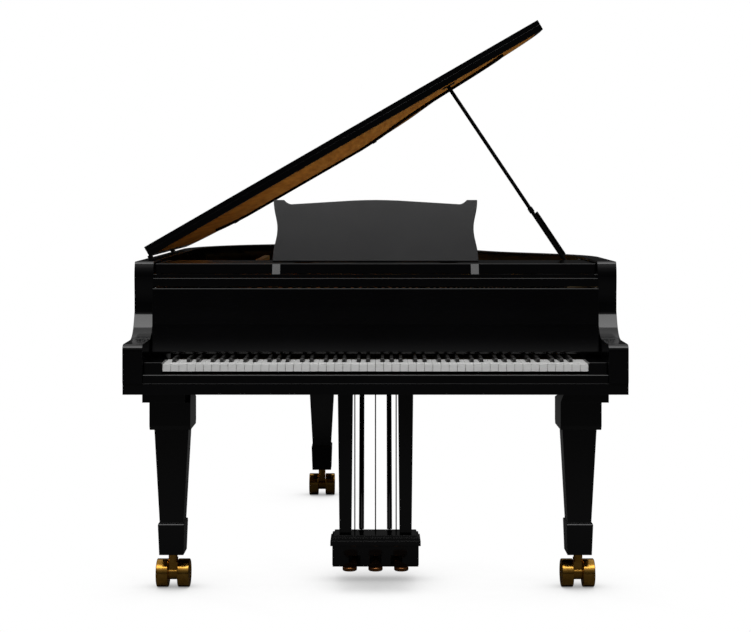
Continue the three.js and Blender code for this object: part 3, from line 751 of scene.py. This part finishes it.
def bass_wires():
    """One or two wound wires a note, crossing over the tenor."""
    runs, pins, hitches = [], [], []
    for note in range(BASS_NOTES):
        share = note / (BASS_NOTES - 1)
        for wire in range(1 if note < 8 else 2):
            offset = wire * 3.2
            start = Vector((-655 + 200 * share + offset, STRING_START))
            end = Vector((-430 + 330 * share + offset, 1890 + 60 * share))
            pin = Vector((start.x - 1, 400 + 40 * wire + 20 * (note % 2)))
            over = start + (end - start) * 0.965
            runs.append([at(pin.x, pin.y, WEB_TOP + 14), at(start.x, start.y, BASS_Z),
                         at(over.x, over.y, BASS_Z), at(end.x, end.y, BASS_Z - 12)])
            pins.append(at(pin.x + 3.4, pin.y, WEB_TOP + 12))
            hitches.append(at(end.x, end.y, BASS_Z - 14))
    return runs, pins, hitches


def build_dampers():
    """A row of lacquered heads, each with a felt pad under it and a wire behind."""
    heads, pads = [], []
    places = [-632 + i * DAMPER_PITCH for i in range(DAMPERS)]
    for x in places:
        for low, high, parts, half in ((906.5, 918.4, heads, 5.2), (904.2, 906.5, pads, 4.6)):
            bm = bmesh.new()
            for vertex in bmesh.ops.create_cube(bm, size=1)["verts"]:
                across, along, up = vertex.co
                height = (low + high) / 2 + up * (high - low)
                vertex.co = at(x + across * 2 * half, DAMPER_LINE + along * 46, height)
            parts.append(bm)
    whole = combine(heads)
    round_edges(whole, 0.8)
    piece = piece_from(to_mesh(whole, "damper_heads"), "damper_heads", "case", LACQUER, ["damper_row"])
    even_normals(piece)
    piece_from(to_mesh(combine(pads), "damper_felts"), "damper_felts", "case", WHITE_FELT)
    stems = [at(x, DAMPER_LINE + 12, 880) for x in places]
    posts("damper_wires", stems, 0.8, 70, STEEL, "case", 6)


def build_strung_back():
    finish("soundboard", SPRUCE, 0.5)
    finish("pin_block", MAPLE, 1.0)
    finish("cast_iron_plate", GOLD_IRON, 2.2, 3)
    finish("long_bridge", MAPLE, 1.5)
    finish("bass_bridge", MAPLE, 1.5)
    finish("hammer_row", WHITE_FELT, 1.5)
    build_dampers()
    treble, treble_pins, treble_hitches = treble_wires()
    bass, bass_pins, bass_hitches = bass_wires()
    wires("treble_strings", treble, 0.5, STEEL, "case", stands_for=["strings_treble"])
    wires("bass_strings", bass, 1.4, COPPER, "case", 8, ["strings_bass"])
    posts("tuning_pins", treble_pins + bass_pins, 3.2, 30, STEEL, "case", 8)
    coils = [p - Vector((0, 0, 2 * MM)) for p in treble_pins + bass_pins]
    posts("string_coils", coils, 4.3, 5, STEEL, "case", 10)
    posts("hitch_pins", treble_hitches + bass_hitches, 1.5, 12, STEEL, "case", 6)
    bolts = case_outline(74, 5)
    rim_bolts = [at(p.x, p.y, FLANGE_TOP + 3) for p in bolts if p.y > 640]
    posts("plate_bolts", rim_bolts, 9, 8, GOLD_IRON, "case", 6)
    webs = [at(x, 350, WEB_TOP + 3) for x in range(-620, 640, 155)]
    posts("web_bolts", webs, 8, 7, GOLD_IRON, "case", 6)
    agraffes = [run[1] - Vector((0, 0, 0.0008)) for run in treble[1::3] + bass]
    posts("agraffes", agraffes, 3.2, 10, BRASS, "case", 8)
    prism("string_felt", rectangle(-655, 600, 512, 530), WEB_TOP, WEB_TOP + 3, at, "case", RED_FELT)
    for i in range(9):
        x = -480 + 110 * i
        reach = 1980 - 0.9 * abs(x + 150) - (650 if x > 200 else 0)
        if reach > 1000:
            rib = rectangle(x - 11, x + 11, 720, reach)
            low = SOUNDBOARD_BOTTOM - 22
            prism(f"soundboard_rib_{i}", rib, low, SOUNDBOARD_BOTTOM, at, "case", SPRUCE, 2)


# ---- keyboard ----

def build_keyboard():
    for node in ("white_keys", "key_c", "key_d", "key_e"):
        finish(node, IVORY, 0.7, 2)
    for node in ("black_keys", "key_c_sharp", "key_d_sharp"):
        finish(node, EBONY, 0.8, 2)
    prism("keybed_felt", rectangle(-612, 612, 182, 190), KEYBED_TOP, KEYBED_TOP + 9, at, "case", RED_FELT)


# ---- shelf, desk and lid ----

def build_desk():
    finish("music_shelf", LACQUER, 1.5, 3)
    finish("music_desk", DESK_LACQUER, 2.0, 3)
    finish("desk_strut", DESK_LACQUER, 1.0)
    for name, side in (("wedge_left", -1), ("wedge_right", 1)):
        x = side * 300
        low, high = SHELF_BOTTOM - 0.5, SHELF_TOP - 0.9
        outline = [(SHELF_FRONT, low), (SHELF_FRONT, high), (SHELF_FRONT - 3, high), (SHELF_FRONT - 19, low)]
        prism(name, outline, x - 12.2, x + 12.2, crosswise, "music_shelf", DESK_LACQUER, 0.8)
    hinges = [at(x, 303, SHELF_TOP + 6) for x in (-220, 220)]
    posts("desk_hinges", hinges, 5, 50, BRASS, "music_shelf", 12, (0, math.radians(90), 0))


def lid_panel_outline(border):
    """The lid's plan, a border in from its edges."""
    front = FLAP_FOLD + border
    left = -HALF_WIDTH + border
    right = HALF_WIDTH + LID_OVERHANG - border
    points = [(max(p.x, left), p.y) for p in case_outline(border - LID_OVERHANG) if p.y > front]
    return [(right, front)] + points + [(left, front)]


def build_lid():
    finish("lid", LACQUER, 0.5)
    finish("front_flap", LACQUER, 0.5)
    prism("lid_veneer_panel", lid_panel_outline(26), LID_UNDERSIDE - 0.5, LID_UNDERSIDE + 0.2, on_lid,
          "lid", VENEER, 0)
    batten = [(p.x, min(p.y, 1866)) for p in case_outline(136) if p.y > 600]
    batten += [(p.x, min(p.y, 1850)) for p in reversed(case_outline(152)) if p.y > 600]
    prism("lid_batten", batten, LID_UNDERSIDE - 10, LID_UNDERSIDE, on_lid, "lid", SATIN_BLACK, 1.0)
    edge = case_outline(20)
    spots = [min(edge, key=lambda p: (p - Vector(near)).length) for near in ((118, 2000), (-557, 2010))]
    feet = [on_lid(p.x, p.y, LID_UNDERSIDE - 3) for p in spots]
    posts("lid_bumpers", feet, 9, 6, RUBBER, "lid", 20, (0, -LID_ANGLE, 0))
    fold = [on_lid(x, FLAP_FOLD + 3.2, LID_TOP + 0.15) for x in range(-700, 720, 40)]
    posts("flap_hinge", fold, 1.6, 37, BLACKED_BRASS, "lid", 12, (0, math.radians(90) - LID_ANGLE, 0))
    cup = on_lid(386, 680, LID_UNDERSIDE)
    down = LID.to_3x3() @ Vector((0, 0, -1))
    ring = lathe([(0.1, 24), (0.1, 10), (3, 10), (4.5, 12), (4.5, 22), (3, 24), (0.1, 24)], cup, down)
    piece_from(to_mesh(ring, "prop_cup"), "prop_cup", "lid", LACQUER)
    for node in ("lid_hinge_front", "lid_hinge_rear"):
        finish(node, BLACKED_BRASS, 0.5)
        low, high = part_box(node)
        length = high.y - low.y
        screws = [low + Vector((3.5 * MM, length * share, 12 * MM)) for share in (0.12, 0.5, 0.88)]
        posts(node + "_screws", screws, 3.4, 1.6, BRASS, "case", 14, (0, math.radians(-90), 0))


def build_prop():
    finish("prop_stick", SATIN_BLACK, 0.6)
    finish("short_prop", SATIN_BLACK, 0.8)
    along = (PROP_HEAD - PROP_FOOT).normalized()
    across = Vector((along.z, 0, -along.x))

    def beside_prop(up, out, side):
        return at(*(PROP_FOOT + along * up + across * out + Vector((0, side, 0))))

    strip = rectangle(26, 188, 3, 9.5)
    prism("short_prop_rest", strip, -1.5, 1.5, beside_prop, "prop_stick", SATIN_BLACK, 0)
    finish("prop_bracket", LACQUER, 1.2)


# ---- legs, casters and lyre ----

LEGS = {"left": (-610, 260), "right": (610, 260), "tail": (-211, 1820)}


def wheel(x, y, side):
    """One caster wheel: a rounded tread with a ring groove, a dished face and a hub cap."""
    tread = [(0, 0), (0, 39), (0.6, 40.8), (2.2, WHEEL_RADIUS), (33.6, WHEEL_RADIUS), (35.3, 40.8)]
    face = [(36, 38.6), (36, 35), (34.8, 33.6), (32.6, 32), (32.6, 15)]
    cap = [(34.4, 13.4), (35.4, 10), (35.8, 5), (35.8, 0)]
    start = at(x + side * WHEEL_SPACE / 2, y + CASTER_TRAIL, WHEEL_RADIUS)
    return lathe(tread + face + cap, start, Vector((side, 0, 0)), 56)


def build_legs():
    for name, (x, y) in LEGS.items():
        finish("leg_" + name, LACQUER, 2.2, 3)
        finish("caster_fork_" + name, BRASS, 1.2, 2)
        start = at(x - WHEEL_SPACE / 2, y + CASTER_TRAIL, WHEEL_RADIUS)
        axle = lathe([(0, 0), (0, 8), (WHEEL_SPACE, 8), (WHEEL_SPACE, 0)], start, Vector((1, 0, 0)), 24)
        pair = to_mesh(combine([wheel(x, y, -1), wheel(x, y, 1), axle]), "wheels_" + name, 34)
        node = "caster_wheels_" + name
        piece_from(pair, "wheels_" + name, node, BRASS, [node])


def build_lyre():
    finish("lyre_top", LACQUER, 2.0, 3)
    finish("lyre_box", LACQUER, 1.4, 3)
    for side in ("left", "right"):
        finish("lyre_pillar_" + side, LACQUER, 2.5, 3)
        finish("lyre_brace_" + side, LACQUER, 0.6)
    prism("lyre_box_floor", rectangle(-131, 131, 331, 428), 47, 51.7, at, "case", LACQUER, 0.6)
    for name in ("left", "middle", "right"):
        finish("pedal_" + name, PEDAL_BRASS, 3.5, 4)
        finish("pedal_rod_" + name, BLACKED_BRASS, 0.3)


build_camera()
build_world()
build_lights()
build_floor()
build_case()
build_strung_back()
build_keyboard()
build_desk()
build_lid()
build_prop()
build_legs()
build_lyre()

bpy.context.scene.view_settings.view_transform = "Standard"
